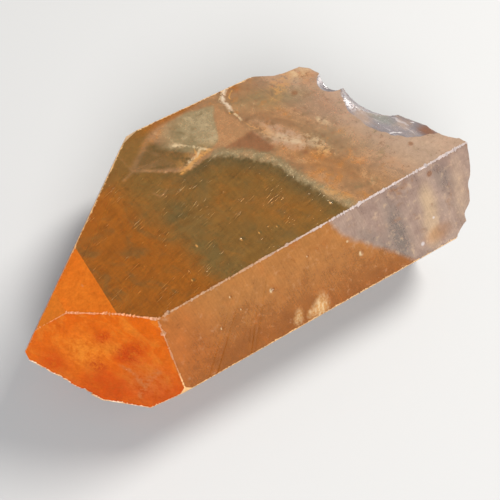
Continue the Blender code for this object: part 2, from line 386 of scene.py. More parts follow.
def crystal_mesh(materials):
    """The crystal, cut and in the row frame."""
    body = faceted_body()
    draw = random.Random(WEAR_SEED)
    worn, broken = materials[WORN_SLOT], materials[BROKEN_SLOT]
    cutters = [break_cutter(broken)]
    for index, edge in enumerate(list(body.edges)):
        widths = wear_widths(edge)
        if min(widths) > 0.0:
            cutters.append(wear_strip(index, edge, widths, worn, draw))
    for index, (centre, axes, turn, detail) in enumerate(SHELL_CHIPS):
        turned = Matrix.Rotation(math.radians(turn), 3, "Z")
        cutters.append(scoop_cutter(f"shell_{index}", centre, axes, turned, broken, detail,
                                    SHELL_RAGGED, RIB_HEIGHT))
    cutters += [edge_chip(index, chip, worn) for index, chip in enumerate(CHIPS)]
    pits = [(face, pit) for face, row in PITS.items() for pit in row]
    cutters += [face_pit(index, face, pit, materials[FACES[face][3]])
                for index, (face, pit) in enumerate(pits)]

    crystal = mesh_object("crystal", body, materials)
    held = bpy.data.collections.new("cutters")
    for cutter in cutters:
        held.objects.link(cutter)
    cut = crystal.modifiers.new("cuts", "BOOLEAN")
    cut.operation = "DIFFERENCE"
    cut.operand_type = "COLLECTION"
    cut.collection = held
    cut.solver = "EXACT"
    cut.material_mode = "TRANSFER"
    depsgraph = bpy.context.evaluated_depsgraph_get()
    finished = bpy.data.meshes.new_from_object(crystal.evaluated_get(depsgraph))
    crystal.modifiers.clear()
    crystal.data = finished
    for cutter in cutters:
        bpy.data.objects.remove(cutter)
    bpy.data.collections.remove(held)
    bm = bmesh.new()
    bm.from_mesh(finished)
    bmesh.ops.remove_doubles(bm, verts=bm.verts[:], dist=WELD)
    bmesh.ops.dissolve_degenerate(bm, edges=bm.edges[:], dist=WELD)
    place = Matrix.Scale(MM, 4) @ Matrix.Translation(HEART)
    bmesh.ops.transform(bm, matrix=place, verts=bm.verts[:])
    low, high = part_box(NODE)
    for vert in bm.verts:
        vert.co = [min(max(part, least), most) for part, least, most in zip(vert.co, low, high)]
    bm.to_mesh(finished)
    bm.free()
    return crystal


# ---- paint

def srgb(red, green, blue):
    """A colour as it is seen, 0 to 255, turned into the linear values a shader takes."""
    seen = (red / 255.0, green / 255.0, blue / 255.0)
    return tuple(((part + 0.055) / 1.055) ** 2.4 if part > 0.04 else part / 12.92 for part in seen)


class Paint:
    """Nodes over one material, and the colour laid so far. Places are in mm of the row frame.

    Over one face, everything is dropped flat onto its plane. A place with two numbers lies
    at the paint's level."""

    def __init__(self, material, colour, face=None, level=0.0):
        self.tree = material.node_tree
        self.shader = self.tree.nodes["Principled BSDF"]
        self.colour = colour
        self.level = level
        self.normal = face_plane(face)[0] if face else None
        objects = self.node("TexCoord").outputs["Object"]
        self.here = self.scaled(objects, 1.0 / MM)
        if face:
            height = self.dot(self.here, self.normal)
            self.here = self.vector("SUBTRACT", self.here, self.scaled(self.normal, height))

    def flat(self, run):
        run = Vector((*run, 0.0)[:3])
        return run - self.normal * run.dot(self.normal) if self.normal else run

    def at(self, place):
        return self.flat((*place, self.level)[:3])

    def node(self, kind, **settings):
        made = self.tree.nodes.new("ShaderNode" + kind)
        for name, value in settings.items():
            setattr(made, name, value)
        return made

    def feed(self, socket, value):
        if isinstance(value, bpy.types.NodeSocket):
            self.tree.links.new(value, socket)
        elif socket.type == "RGBA":
            socket.default_value = (*value, 1.0)
        else:
            socket.default_value = value

    def make(self, kind, terms, **settings):
        """The outputs of a node whose inputs, by name or number, get these terms."""
        made = self.node(kind, **settings)
        for key, term in terms.items():
            self.feed(made.inputs[key], term)
        return made.outputs

    def math(self, operation, *terms, clamp=False):
        return self.make("Math", dict(enumerate(terms)), operation=operation, use_clamp=clamp)[0]

    def vector(self, operation, one, other):
        return self.make("VectorMath", {0: one, 1: other}, operation=operation)["Vector"]

    def scaled(self, vector, scale):
        return self.make("VectorMath", {0: vector, "Scale": scale}, operation="SCALE")["Vector"]

    def dot(self, one, other):
        return self.make("VectorMath", {0: one, 1: other}, operation="DOT_PRODUCT")["Value"]

    def length(self, vector):
        return self.make("VectorMath", {0: vector}, operation="LENGTH")["Value"]

    def past(self, start):
        return self.vector("SUBTRACT", self.here, start)

    def along(self, *run):
        return self.dot(self.here, Vector(run))

    def add(self, wave, strength, base):
        return self.math("MULTIPLY_ADD", wave, strength, base)

    def fade(self, value, start, end):
        """Goes smoothly from 0 at start to 1 at end."""
        terms = {"Value": value, "From Min": start, "From Max": end}
        return self.make("MapRange", terms, interpolation_type="SMOOTHSTEP")["Result"]

    def times(self, *masks):
        """The masks' product. A mask may be a wave with the two values it fades between."""
        masks = [self.fade(*mask) if isinstance(mask, tuple) else mask for mask in masks]
        product = masks[0]
        for mask in masks[1:]:
            product = self.math("MULTIPLY", product, mask)
        return product

    def mix(self, below, above, *masks):
        return self.make("Mix", {0: self.times(*masks), 6: below, 7: above}, data_type="RGBA")[2]

    def lay(self, tint, *masks):
        """Lays a tint over the colour, as strongly as the masks' product says."""
        self.colour = self.mix(self.colour, tint, *masks)

    def tone(self, *swings):
        """Makes the colour lighter and darker by waves from 0 to 1, each with its strength."""
        factor = 1.0 - sum(strength for _, strength in swings)
        for wave, strength in swings:
            factor = self.add(wave, 2.0 * strength, factor)
        self.colour = self.scaled(self.colour, factor)

    def lumps(self, place, size, detail, **settings):
        return self.make("TexNoise", {"Vector": place, "Scale": 1.0 / size, "Detail": detail, **settings})

    def cloud(self, size, seed, detail=3.0, roughness=0.55):
        """Noise from 0 to 1, with lumps of about that size in mm."""
        place = self.vector("ADD", self.here, (17.3 * seed, 5.1 * seed, 29.7 * seed))
        return self.lumps(place, size, detail, Roughness=roughness)["Fac"]

    def wisps(self, size, seed, run, long, curl=1.2):
        """Noise from 0 to 1, drawn out along run and curled like smoke."""
        run = self.flat(run).normalized()
        along = self.dot(self.here, run)
        squeeze = self.math("MULTIPLY", along, 1.0 / long - 1.0)
        place = self.vector("ADD", self.here, self.scaled(run, squeeze))
        place = self.vector("ADD", place, (13.3 * seed, 41.9 * seed, 7.1 * seed))
        return self.lumps(place, size, 7.0, Roughness=0.62, Distortion=curl)["Fac"]

    def warp(self, amount, size, seed):
        """From here on, places are read with a wavy error, so that outlines look grown."""
        place = self.vector("ADD", self.here, (31.1 * seed, 11.9 * seed, 3.7 * seed))
        wave = self.vector("SUBTRACT", self.lumps(place, size, 3.0)["Color"], (0.5, 0.5, 0.5))
        straight = self.here
        self.here = self.vector("ADD", straight, self.scaled(wave, 2.0 * amount))
        return straight

    def climb(self, start, run):
        """How far a place lies past start along run, in units of run's length."""
        run = Vector(run)
        return self.dot(self.past(self.at(start)), run / run.length_squared)

    def only(self, wave, mask):
        """The wave where the mask is 1, and its middle value where the mask is 0."""
        return self.add(self.math("SUBTRACT", wave, 0.5), mask, 0.5)

    def blob(self, centre, reach, across=None, run=(1.0, 0.0), soft=0.35):
        """1 inside an ellipse of half-axes reach along run and across beside it."""
        across = across or reach
        away = self.past(self.at(centre))
        along = self.dot(away, self.flat(run).normalized())
        total = self.dot(away, away)
        stretched = self.math("MULTIPLY", along, along)
        stretched = self.math("MULTIPLY", stretched, 1.0 / reach ** 2 - 1.0 / across ** 2)
        square = self.add(total, 1.0 / across ** 2, stretched)
        return self.fade(self.math("SQRT", square), 1.0 + soft, 1.0 - soft)

    def patches(self, table, soft, wave, start, end):
        """Patches ragged by a wave, from rows of centre, two half-axes, run, tint and strength."""
        for centre, reach, across, run, tint, amount in table:
            patch = self.blob(centre, reach, across, run, soft)
            self.lay(tint, patch, (wave, start, end), amount)

    def line(self, start, end, width):
        """1 on a straight line between two places, fading to 0 at width to its sides."""
        start, end = self.at(start), self.at(end)
        run = end - start
        away = self.past(start)
        share = self.dot(away, run / run.length_squared)
        share = self.math("ADD", share, 0.0, clamp=True)
        rest = self.vector("SUBTRACT", away, self.scaled(run, share))
        return self.fade(self.length(rest), width, 0.0)

    def path(self, places, width):
        mask = self.line(places[0], places[1], width)
        for start, end in zip(places[1:], places[2:]):
            mask = self.math("MAXIMUM", mask, self.line(start, end, width))
        return mask

    def beyond(self, start, end, soft):
        """1 on the left of the line from start to end, seen from outside the face."""
        left = self.normal.cross(self.at(end) - self.at(start)).normalized()
        distance = self.math("SUBTRACT", self.dot(self.here, left), self.at(start).dot(left))
        return self.fade(distance, -soft, soft)

    def inside(self, corners, soft):
        """1 inside a convex outline, whose corners go round to the left."""
        mask = self.beyond(corners[-1], corners[0], soft)
        for start, end in zip(corners, corners[1:]):
            mask = self.math("MINIMUM", mask, self.beyond(start, end, soft))
        return mask

    def past_curve(self, places):
        """Distance in mm to the left of a smooth curve through places."""
        first, last = self.at(places[0]), self.at(places[-1])
        run, length = (last - first).normalized(), (last - first).length
        left = self.normal.cross(run)
        away = self.past(first)
        share = self.math("DIVIDE", self.dot(away, run), length)
        made = self.node("FloatCurve")
        curve = made.mapping.curves[0]
        stops = [((self.at(place) - first).dot(run) / length,
                  0.5 + (self.at(place) - first).dot(left) / length) for place in places]
        for stop in stops[1:-1]:
            curve.points.new(*stop)
        curve.points[0].location = stops[0]
        curve.points[-1].location = stops[-1]
        made.mapping.update()
        self.feed(made.inputs["Value"], share)
        height = self.add(made.outputs[0], length, -0.5 * length)
        return self.math("SUBTRACT", self.dot(away, left), height)

    def strokes(self, run, long, thin, seed):
        """Noise from 0 to 1 in straight strokes along run, that long and thin in mm."""
        run = self.flat(run).normalized()
        side = self.normal.cross(run) if self.normal else run.orthogonal().normalized()
        place = self.node("CombineXYZ")
        self.feed(place.inputs[0], self.math("DIVIDE", self.along(*run), long))
        self.feed(place.inputs[1], self.math("DIVIDE", self.along(*side), thin))
        place.inputs[2].default_value = 7.7 * seed
        return self.lumps(place.outputs[0], 1.0, 2.0)["Fac"]

    def lit_and_shaded_pits(self, face, pale, dark):
        """A pale crescent of painted highlight beside a dark spot of painted shade, at each of a face's
        pits and bruises.
        """
        run, side = face_axes(face)
        for along, across, radius, *_ in PITS[face] + BRUISES.get(face, ()):
            centre = HEART + run * along + side * across
            spot = self.blob(centre + run * 0.7 * radius, 1.1 * radius, soft=0.5)
            self.lay(dark, spot, 0.75)
            crescent = self.blob(centre - run * 0.5 * radius, 0.9 * radius, 0.45 * radius, side, 0.6)
            self.lay(pale, crescent, 0.85)

    def specks(self, spacing, radius, seed, share):
        """Small round spots, on that share of the cells of a grid of that spacing."""
        place = self.vector("ADD", self.here, (9.1 * seed, 23.3 * seed, 2.9 * seed))
        made = self.make("TexVoronoi", {"Vector": place, "Scale": 1.0 / spacing})
        spot = self.fade(made["Distance"], radius / spacing, 0.4 * radius / spacing)
        red = self.make("SeparateColor", {0: made["Color"]})[0]
        return self.times(spot, (red, 1.0 - share, 1.02 - share))

    def finish(self, roughness, height, relief):
        """Connects the shader. Height is from 0 to 1, and relief its depth in mm."""
        self.feed(self.shader.inputs["Base Color"], self.colour)
        self.feed(self.shader.inputs["Roughness"], roughness)
        bump = self.node("Bump")
        self.feed(bump.inputs["Height"], height)
        bump.inputs["Distance"].default_value = relief * MM
        self.tree.links.new(bump.outputs[0], self.shader.inputs["Normal"])


# ---- materials

IOR = 1.544
ABSORPTION_COLOUR = srgb(240, 196, 112)
ABSORPTION_DENSITY = 40.0

AMBER = srgb(166, 98, 28)
UMBER = srgb(144, 104, 48)
HONEY = srgb(182, 108, 30)
OLIVE = srgb(118, 98, 54)
DEEP_OLIVE = srgb(106, 90, 54)
SAGE = srgb(158, 138, 98)
PALE_SAGE = srgb(186, 164, 124)
GREY_BROWN = srgb(130, 98, 52)
PINK = srgb(196, 146, 100)
ROSE = srgb(166, 126, 88)
BLUSH = srgb(204, 174, 148)
RUSSET = srgb(160, 106, 70)
CREAM = srgb(250, 220, 172)
GOLD = srgb(232, 168, 92)
TAN = srgb(196, 130, 66)
DARK_TAN = srgb(166, 94, 28)
ORANGE_TAN = srgb(204, 112, 38)
LILAC = srgb(172, 144, 130)
PALE_LILAC = srgb(192, 164, 146)
SMOKE = srgb(146, 130, 120)
SAND = srgb(220, 188, 152)
TANGERINE = srgb(228, 104, 6)
APRICOT = srgb(242, 140, 38)
SOFT_ORANGE = srgb(214, 114, 34)
BRIGHT_ORANGE = srgb(255, 142, 44)
EMBER = srgb(208, 72, 0)
RUST = srgb(190, 58, 0)
PEACH = srgb(202, 124, 64)
FROST = srgb(172, 156, 150)
TAN_FROST = srgb(156, 112, 74)
ORANGE_FROST = srgb(206, 126, 70)
GOLD_FROST = srgb(240, 190, 124)
WHITE_FROST = srgb(255, 232, 200)
BROKEN_LILAC = srgb(156, 147, 148)
BROKEN_GREEN = srgb(156, 156, 146)
CRUSHED_WHITE_AND_GLINT = srgb(255, 246, 244)


def made_of(name, values):
    """A material whose shader has these values on its inputs."""
    material = bpy.data.materials.new(name)
    material.use_nodes = True
    shader = material.node_tree.nodes["Principled BSDF"]
    for key, value in values.items():
        shader.inputs[key].default_value = value
    return material


def quartz(name, roughness, transmission, gloss, tint):
    """Tinted quartz: clear by its transmission, IOR and absorption, hazy by the rest."""
    material = made_of(name, {
        "Roughness": roughness, "IOR": IOR, "Transmission Weight": transmission,
        "Specular IOR Level": gloss, "Specular Tint": (*tint, 1.0)})
    tree = material.node_tree
    absorb = tree.nodes.new("ShaderNodeVolumeAbsorption")
    absorb.inputs["Color"].default_value = (*ABSORPTION_COLOUR, 1.0)
    absorb.inputs["Density"].default_value = ABSORPTION_DENSITY
    tree.links.new(absorb.outputs[0], tree.nodes["Material Output"].inputs["Volume"])
    return material


# ---- the top face's paint

# Places and runs here are across the face, as X and Y. They lie at this height.
TOP_LEVEL = 13.0

# The olive heart's far rim, from the left edge round to the ridge.
ARC = ((-6.1, 5.2), (-4.0, 3.8), (-2.2, 2.6), (-0.8, 2.4), (0.6, 2.7), (2.3, 2.3), (4.3, 0.6),
       (5.9, -1.3), (6.6, -3.8), (7.3, -5.6), (8.2, -7.8), (9.0, -9.6))
VEIL_RUN = (0.55, -0.83)
SCRATCH_RUN = (0.95, 0.32)
# Hatching: run, length, width, seed and strength.
HATCHES = (
    (SCRATCH_RUN, 3.0, 0.08, 1.0, 0.36),
    ((0.99, -0.05), 2.4, 0.07, 2.0, 0.3),
    ((0.8, 0.6), 2.0, 0.07, 3.0, 0.26),
    ((0.09, -1.0), 1.6, 0.08, 5.0, 0.3),
)
# Clouds and veils: centre, half-length, half-width, run, tint and strength.
HEART_CLOUDS = (
    ((-5.0, -0.9), 2.4, 1.4, (0.2, -1.0), OLIVE, 0.9),
    ((-4.5, -7.0), 3.4, 1.5, (0.1, -1.0), OLIVE, 0.8),
    ((-1.0, 1.6), 1.7, 1.2, (1.0, 0.3), OLIVE, 0.8),
    ((3.0, -6.0), 4.4, 1.6, (0.8, -0.6), HONEY, 0.35),
    ((-3.6, 0.9), 1.9, 1.1, (1.0, -0.4), HONEY, 0.3),
    ((-9.6, 2.2), 2.2, 1.1, (0.6, 1.0), HONEY, 0.5),
    ((-2.4, 1.9), 1.5, 0.8, (1.0, -0.2), HONEY, 0.5),
)
FAR_CLOUDS = (
    ((9.8, 5.9), 4.2, 1.3, (1.0, -0.4), SAGE, 0.75),
    ((7.4, 8.6), 2.6, 0.9, (1.0, 0.1), ROSE, 0.8),
    ((9.4, -3.2), 3.4, 1.3, (0.45, -0.9), TAN, 0.5),
    ((9.6, -7.0), 2.6, 1.0, (0.6, -0.8), PINK, 0.6),
    ((12.2, -2.0), 3.0, 1.5, (0.5, -0.8), SAGE, 0.4),
    ((13.8, 2.8), 2.4, 1.2, (0.3, -1.0), RUSSET, 0.35),
    ((14.4, 6.6), 1.8, 1.0, (0.6, -0.8), TAN, 0.6),
)
VEILS = (
    ((8.2, 1.0), 2.9, 1.0, (0.5, -0.86), BLUSH, 0.9),
    ((8.3, 0.6), 1.9, 0.5, (0.6, -0.8), CREAM, 0.5),
    ((6.9, 2.9), 1.3, 0.5, (0.5, -0.86), GOLD, 0.6),
    ((10.6, -1.8), 1.5, 0.6, (0.2, -1.0), CREAM, 0.8),
    ((10.3, -2.6), 0.8, 0.5, (1.0, -0.4), GOLD, 1.0),
    ((12.5, 0.5), 0.7, 0.3, (0.3, -1.0), CREAM, 0.9),
    ((11.7, 6.9), 2.4, 0.8, (0.75, 0.66), GOLD, 0.8),
    ((14.2, 7.1), 1.1, 0.8, (1.0, 0.0), CREAM, 0.7),
    ((8.4, -7.4), 1.5, 0.5, (0.6, -0.8), GOLD, 0.5),
    ((7.2, 9.2), 0.9, 0.5, (1.0, -0.5), HONEY, 0.9),
    ((-0.4, 3.5), 1.7, 0.7, (1.0, 0.25), GOLD, 0.8),
    ((-0.9, 3.2), 0.6, 0.4, (1.0, 0.4), CREAM, 0.9),
    ((-1.1, 5.7), 0.9, 0.3, (1.0, -0.6), CREAM, 0.6),
)
# Bright threads: places along each, half-width, tint and strength.
THREADS = (
    (((6.8, 9.4), (6.0, 8.6), (5.6, 8.0), (5.8, 7.3), (5.7, 6.6)), 0.38, WHITE_FROST, 1.0),
    (((7.2, 8.8), (6.6, 8.3), (6.4, 7.6)), 0.16, GOLD, 0.9),
    (((6.1, 9.0), (5.3, 8.4), (5.5, 7.9)), 0.14, CREAM, 0.8),
    (((4.6, 8.3), (5.5, 7.5)), 0.16, PINK, 0.9),
    (((5.8, 6.0), (5.9, 5.0)), 0.2, CREAM, 0.9),
    (((5.9, 5.0), (7.2, 1.8)), 0.12, GOLD, 0.3),
    (((-1.3, 5.8), (-0.2, 5.2), (0.6, 4.3), (1.3, 3.5)), 0.26, CREAM, 0.9),
    (((1.4, 3.5), (0.2, 3.3), (-1.0, 3.0), (-2.2, 2.5)), 0.36, GOLD, 0.9),
    (((0.7, 4.1), (-0.1, 3.4), (-1.1, 3.3)), 0.22, CREAM, 0.9),
    (((0.2, 4.4), (0.1, 3.7), (-0.5, 2.9)), 0.14, GOLD, 0.9),
)


def top_paint(material):
    """The big upper face: an amber heart within an arc, darkened to olive by painted shade, and a pinkish
    far part.
    """
    paint = Paint(material, AMBER, "prism_top", TOP_LEVEL)
    straight = paint.warp(0.3, 2.2, 1.0)
    middle = paint.cloud(1.6, 4.0, 6.0, 0.65)
    fine = paint.cloud(0.6, 3.0, 6.0, 0.7)
    smoke = paint.wisps(2.6, 5.0, VEIL_RUN, 1.8)
    across = paint.along(1.0, 0.25, 0.0)

    # The heart: amber by the point, then a greener brown, with darker and redder clouds.
    # The greener brown and the darker olive are painted shade: the shaded floor under the crystal, seen
    # through it.
    paint.lay(UMBER, (paint.add(middle, 3.0, across), -8.0, -3.5))
    paint.patches(HEART_CLOUDS, 0.8, middle, 0.3, 0.6)
    paint.lay(OLIVE, (smoke, 0.5, 0.66), 0.5)
    paint.lay(HONEY, (smoke, 0.46, 0.34), 0.3)
    paint.lay(DEEP_OLIVE, (middle, 0.52, 0.66), (across, -6.0, -2.0), 0.5)
    heart = paint.colour

    # The far part: dusty pink, paler towards the break, with grey-green and cream clouds.
    paint.colour = ROSE
    paint.lay(PINK, (smoke, 0.4, 0.6))
    paint.lay(BLUSH, (across, 10.0, 17.0), 0.9)
    paint.patches(FAR_CLOUDS, 0.8, middle, 0.26, 0.56)
    paint.lay(SAGE, (middle, 0.44, 0.3), 0.45)
    paint.lay(TAN, (middle, 0.54, 0.66), (across, 16.0, 9.0), 0.6)
    paint.lay(RUSSET, (fine, 0.44, 0.3), 0.4)
    paint.lay(CREAM, (smoke, 0.54, 0.72), (fine, 0.4, 0.62), 0.2)
    paint.lay(RUSSET, paint.inside(((2.6, 2.8), (5.6, -0.1), (6.8, 0.4), (5.9, 3.6)), 0.18), 0.75)
    far = paint.colour

    # The arc's shadow, and the line between the two.
    wavy = paint.add(paint.math("SUBTRACT", fine, 0.5), 1.1, paint.past_curve(ARC))
    crescent = paint.times(
        paint.fade(wavy, -2.6, -0.5), paint.blob((3.4, -2.4), 8.6, 4.4, (0.62, -0.78), 0.4))
    paint.colour = heart
    paint.lay(DEEP_OLIVE, crescent, 0.8)
    paint.lay(far, (wavy, -0.1, 0.3))

    # Windows through to the underside, behind the arc's left end: painted views of the shaded floor under
    # the crystal, seen through its hidden faces.
    paint.lay(UMBER, paint.inside(
        ((-14.0, 4.4), (-6.4, 5.2), (-1.8, 9.2), (-1.2, 12.0), (-14.0, 12.0)), 0.5), 0.95)
    paint.lay(HONEY, paint.blob((1.4, 9.6), 4.6, 0.6, (1.0, 0.12), 0.6), 0.8)
    brown = paint.times(paint.inside(
        ((-6.4, 5.2), (-3.6, 3.9), (-0.8, 2.6), (-0.4, 4.2), (-3.0, 7.6)), 0.4), 0.9)
    paint.lay(GREY_BROWN, brown)
    paint.lay(ROSE, brown, (smoke, 0.5, 0.64), 0.6)
    paint.lay(OLIVE, brown, (fine, 0.5, 0.36), 0.6)
    window = paint.inside((
        (-3.0, 6.6), (-1.6, 5.2), (0.4, 3.6), (1.2, 3.3), (2.7, 4.1), (4.5, 8.1), (1.8, 8.9),
        (-1.0, 8.6)), 0.2)
    window = paint.times(window, paint.blob((2.0, 6.2), 4.4, 2.9, (1.0, 0.4), 0.5))
    paint.lay(SAGE, window)
    paint.lay(PALE_SAGE, window, paint.blob((2.6, 7.0), 2.2, 1.8, (1.0, 0.6), 0.8), 0.9)
    paint.lay(PALE_SAGE, window, (smoke, 0.44, 0.62), 0.8)
    paint.lay(CREAM, window, (middle, 0.52, 0.72), 0.35)
    paint.lay(OLIVE, window, (middle, 0.46, 0.3), 0.7)
    paint.lay(PINK, paint.inside(
        ((2.8, 4.1), (3.1, 2.9), (6.2, 3.3), (5.7, 5.0), (4.7, 7.9)), 0.18), 0.85)

    # The arc's mottled rim: grey-green, feathered, with cream flecks.
    band = paint.add(paint.strokes((0.62, 0.78), 0.6, 0.11, 4.0), -0.8, wavy)
    rim = paint.times(
        paint.fade(band, 0.6, 0.0), paint.fade(band, -1.1, -0.3),
        paint.fade(paint.along(1.0, -0.2, 0.0), 0.4, 1.8))
    paint.lay(SAGE, rim, 0.75)
    paint.lay(PALE_SAGE, rim, (band, 0.2, -0.3), 0.4)
    paint.lay(CREAM, rim, (paint.cloud(0.25, 11.0, 4.0, 0.7), 0.5, 0.66), 0.3)
    paint.lay(PINK, rim, (middle, 0.5, 0.62), 0.4)

    # Veils: soft bright clouds, and the brighter threads in them.
    ragged = paint.fade(fine, 0.38, 0.6)
    for centre, reach, wide, run, tint, amount in VEILS:
        patch = paint.blob(centre, reach, wide, run, 0.8)
        threads = paint.add(paint.fade(smoke, 0.46, 0.62), 0.5, paint.times(ragged, 0.6))
        paint.lay(tint, patch, threads, amount)
    for places, width, tint, amount in THREADS:
        paint.lay(tint, paint.path(places, width), (fine, 0.34, 0.56), amount)
    paint.here = straight
    paint.lay(PINK, paint.path(((-6.4, 7.9), (-6.1, 5.2)), 0.07), 0.3)
    paint.lay(PINK, paint.path(((-7.3, 4.8), (-6.1, 5.2), (-4.9, 4.6), (-4.0, 3.8)), 0.3), 0.3)

    # Fine hatching over the heart, golden scratches, a few specks, and the painted highlights and shade of
    # the pits and bruises.
    near = paint.fade(wavy, 0.6, -0.6)
    patchy = paint.times(paint.fade(paint.cloud(3.0, 9.0, 2.0), 0.36, 0.6), near)
    scratches = paint.times(paint.fade(paint.strokes(SCRATCH_RUN, 1.4, 0.05, 12.0), 0.64, 0.76), patchy)
    paint.tone((paint.cloud(0.16, 13.0, 2.0), 0.16), (fine, 0.3), (middle, 0.3),
               *((paint.only(paint.strokes(run, long, thin, seed), near), strength)
                 for run, long, thin, seed, strength in HATCHES))
    paint.lay(GOLD, scratches, 0.35)
    paint.lay(PINK, paint.path(((-5.7, 1.9), (-5.3, 1.2), (-4.9, 1.3), (-4.4, 1.6)), 0.16), 0.35)
    paint.lay(CREAM, paint.specks(1.3, 0.04, 6.0, 0.2), 0.6)
    paint.lit_and_shaded_pits("prism_top", GOLD, OLIVE)
    for centre, reach in (((17.9, -6.6), 0.24), ((12.3, 5.1), 0.3), ((8.9, -1.9), 0.2)):
        paint.lay(RUSSET, paint.blob(centre, reach, soft=0.6), 0.7)
    roughness = paint.add(scratches, 0.25, 0.12)
    height = paint.math("SUBTRACT", paint.times(paint.cloud(1.6, 12.0, 2.0), 0.5), scratches)
    paint.finish(roughness, height, 0.006)


# ---- the other paints

# Runs on the front face: up it, down it, and along its fans of cracks.
UP_FACE = (0.1, 0.5, 0.86)
DOWN_FACE = (0.2, -0.5, -0.85)
FAN_RUN = (0.35, 0.45, 0.82)
LILAC_CURVE = ((6.1, -9.8, 13.4), (7.1, -10.8, 11.6), (9.0, -11.7, 10.0), (12.3, -13.2, 7.5),
               (14.0, -14.0, 6.0))
LILAC_CLOUDS = (
    ((12.9, -12.2, 9.2), 3.4, 1.0, (0.12, -0.5, -0.86), SMOKE, 1.0),
    ((10.4, -12.0, 9.6), 2.6, 0.8, (0.7, -0.5, -0.6), SMOKE, 0.6),
    ((16.9, -11.4, 10.4), 2.0, 0.8, (0.1, -0.5, -0.86), SAND, 1.0),
    ((16.6, -12.9, 8.0), 1.9, 0.8, (0.1, -0.5, -0.86), SAND, 0.9),
    ((17.2, -13.2, 7.4), 1.4, 0.8, (1.0, 0.0, 0.0), TAN, 0.5),
    ((20.6, -11.6, 10.4), 3.2, 0.8, (0.0, -0.5, -0.86), BLUSH, 0.8),
    ((19.0, -10.6, 12.0), 1.6, 0.9, (0.3, -0.5, -0.86), SMOKE, 0.6),
)
# Fans of small cracks: foot, half-length, half-width and strength.
FANS = (
    ((3.1, -13.6, 6.7), 1.0, 0.6, 1.0),
    ((3.0, -13.6, 6.7), 0.6, 0.7, 0.8),
    ((0.6, -13.6, 6.8), 0.7, 0.4, 0.9),
    ((1.9, -13.7, 6.6), 0.5, 0.3, 0.7),
)
FRONT_SPOTS = (
    ((17.6, -10.0, 13.0), 0.3, RUSSET),
    ((17.1, -12.3, 9.0), 0.12, CRUSHED_WHITE_AND_GLINT),
    ((15.3, -13.4, 7.2), 0.2, CRUSHED_WHITE_AND_GLINT),
    ((7.4, -11.1, 11.0), 0.12, CREAM),
    ((8.5, -12.0, 9.3), 0.24, CREAM),
    ((-1.2, -11.5, 10.4), 0.2, CREAM),
)


def front_paint(material):
    """The long front face: tan, darker below, orange by the tip, smoky lilac past a curve."""
    paint = Paint(material, DARK_TAN, "prism_front")
    straight = paint.warp(0.3, 1.8, 21.0)
    middle = paint.cloud(1.6, 25.0, 6.0, 0.65)
    fine = paint.cloud(0.6, 23.0, 6.0, 0.7)
    smoke = paint.wisps(2.4, 24.0, DOWN_FACE, 1.8)
    height = paint.add(middle, 3.0, paint.climb((3.1, -13.7, 6.6), UP_FACE))
    paint.lay(TAN, (height, 0.5, 7.5))
    paint.lay(ORANGE_TAN, paint.blob((-12.8, -11.4, 10.0), 4.2, 4.4, soft=0.8), 0.75)
    paint.lay(ORANGE_TAN, (smoke, 0.52, 0.7), 0.35)
    paint.lay(DARK_TAN, (smoke, 0.44, 0.3), 0.4)
    tan = paint.colour
    paint.colour = LILAC
    paint.lay(PALE_LILAC, (smoke, 0.4, 0.6))
    paint.patches(LILAC_CLOUDS, 0.7, middle, 0.22, 0.5)
    paint.lay(SAND, (fine, 0.52, 0.7), 0.5)
    paint.lay(TAN, (middle, 0.42, 0.3), 0.4)
    lilac = paint.colour
    past = paint.past_curve(LILAC_CURVE)
    past = paint.add(paint.math("SUBTRACT", fine, 0.5), 0.8, past)
    paint.colour = tan
    paint.lay(lilac, (past, -0.25, 0.5))

    # Bruises fanning up from the lower edge.
    ray = paint.strokes(FAN_RUN, 1.0, 0.2, 30.0)
    sparkle = paint.cloud(0.3, 31.0, 4.0, 0.7)
    for foot, reach, wide, amount in FANS:
        fan = paint.blob(foot, reach, wide, FAN_RUN, 0.9)
        rays = paint.add(paint.fade(ray, 0.4, 0.6), 0.6, 0.4)
        paint.lay(GOLD, fan, 0.75 * amount)
        paint.lay(CREAM, fan, rays, (sparkle, 0.42, 0.58), amount)
    paint.here = straight
    grain = paint.strokes(DOWN_FACE, 2.0, 0.12, 27.0)
    paint.tone((grain, 0.2), (fine, 0.26), (middle, 0.3), (paint.cloud(0.16, 28.0, 2.0), 0.16))
    paint.lay(SAND, (fine, 0.56, 0.72), 0.3)
    for centre, reach, tint in FRONT_SPOTS:
        paint.lay(tint, paint.blob(centre, reach, soft=0.5), 0.7)
    paint.lay(CREAM, paint.specks(1.1, 0.045, 26.0, 0.25), 0.7)
    # The pits and bruises get a painted highlight and a painted shade.
    paint.lit_and_shaded_pits("prism_front", CREAM, DARK_TAN)
    paint.finish(paint.add(fine, 0.1, 0.1), middle, 0.004)


# Clouds in the tip: centre, radius, tint and strength.
TIP_CLOUDS = (
    ((-16.3, -7.7, 10.2), 0.8, EMBER, 1.0),
    ((-15.1, -9.5, 8.9), 0.9, EMBER, 1.0),
    ((-15.7, -9.1, 8.5), 0.6, EMBER, 1.0),
    ((-14.0, -10.0, 9.6), 1.4, EMBER, 0.6),
    ((-17.9, -8.5, 6.3), 1.2, EMBER, 0.8),
    ((-16.9, -9.8, 5.4), 1.2, EMBER, 0.7),
    ((-20.6, -5.6, 6.9), 1.3, EMBER, 0.8),
    ((-18.0, -6.8, 8.4), 1.8, APRICOT, 0.8),
    ((-16.0, -8.2, 9.2), 0.9, APRICOT, 0.7),
    ((-16.2, -3.4, 12.6), 1.2, APRICOT, 0.5),
    ((-14.2, -11.4, 6.6), 1.9, PEACH, 0.35),
)
# Where the fine red cracks are thick: centre and radius.
CRACKED = (
    ((-16.3, -7.7, 10.2), 0.7),
    ((-15.3, -9.3, 8.9), 1.0),
    ((-14.2, -9.9, 9.6), 0.7),
    ((-14.9, -10.0, 8.2), 0.6),
    ((-17.6, -8.2, 7.2), 0.8),
)


